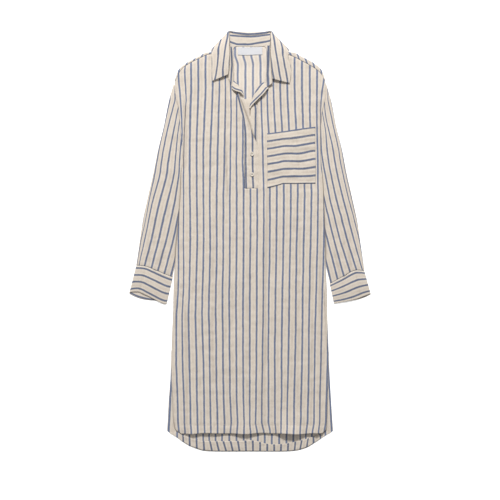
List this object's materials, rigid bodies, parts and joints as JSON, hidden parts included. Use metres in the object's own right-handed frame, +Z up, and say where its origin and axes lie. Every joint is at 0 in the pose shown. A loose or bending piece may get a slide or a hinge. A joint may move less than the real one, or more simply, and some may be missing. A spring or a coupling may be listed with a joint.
{
  "type": "shirt dress laid flat",
  "caption": "Long-sleeved popover shirt dress in striped cloth, laid flat on its back, with turned-down collar, half placket, chest patch pocket, cuffs, side slits and a longer curved back hem",
  "frame": {"origin": "centre of the bounding box in X and Y, on the surface the dress lies on", "axes": "+Z up from that surface, +Y from hem to collar, +X towards the wearer's left sleeve"},
  "size_m": [0.677, 1.1787, 0.0137],
  "materials": {
    "cloth": "plain woven, crinkled, cream with thin blue stripes",
    "label": "bare woven satin tape",
    "button": "satin pearl"
  },
  "bodies": {
    "root": {"back": "cloth", "back_hem_facing": "cloth", "front": "cloth", "placket_over": "cloth", "placket_under": "cloth", "collar_stand": "cloth", "collar_leaf": "cloth", "neck_label": "label", "sleeve_right": "cloth", "sleeve_left": "cloth", "cuff_right": "cloth", "cuff_left": "cloth", "chest_pocket": "cloth", "button_upper": "button", "button_lower": "button"}
  },
  "joints": []
}
